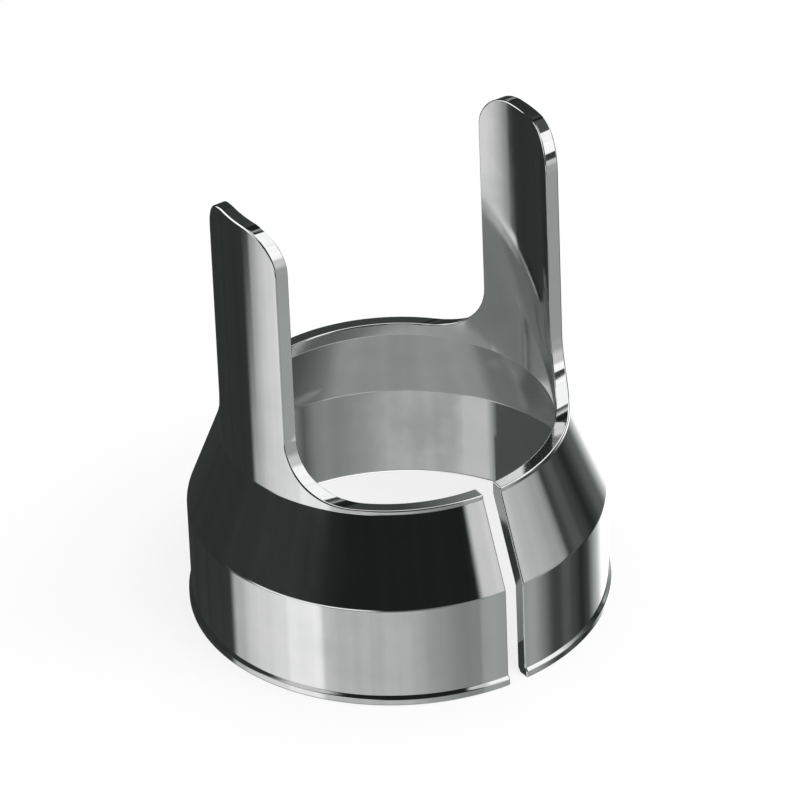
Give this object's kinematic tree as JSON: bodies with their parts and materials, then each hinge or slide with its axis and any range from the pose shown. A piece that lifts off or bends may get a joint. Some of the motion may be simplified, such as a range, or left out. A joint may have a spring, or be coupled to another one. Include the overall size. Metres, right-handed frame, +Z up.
{
  "type": "plasma torch drag shield",
  "caption": "Split spring ring with a straight skirt, a small foot lip, a cone to a short neck, and two long legs with rounded tips that hold a cutting nozzle off the sheet.",
  "frame": {"origin": "centre of the foot of the ring, on the surface it stands on", "axes": "+Z up along the axis of the ring, towards the tips of the legs; the legs stand at +X and -X; the slit is at -Y"},
  "size_m": [0.0304, 0.0304, 0.0356],
  "materials": {
    "drag_shield": "polished bright nickel and chrome plating"
  },
  "bodies": {
    "root": {"drag_shield": "drag_shield"}
  },
  "joints": []
}
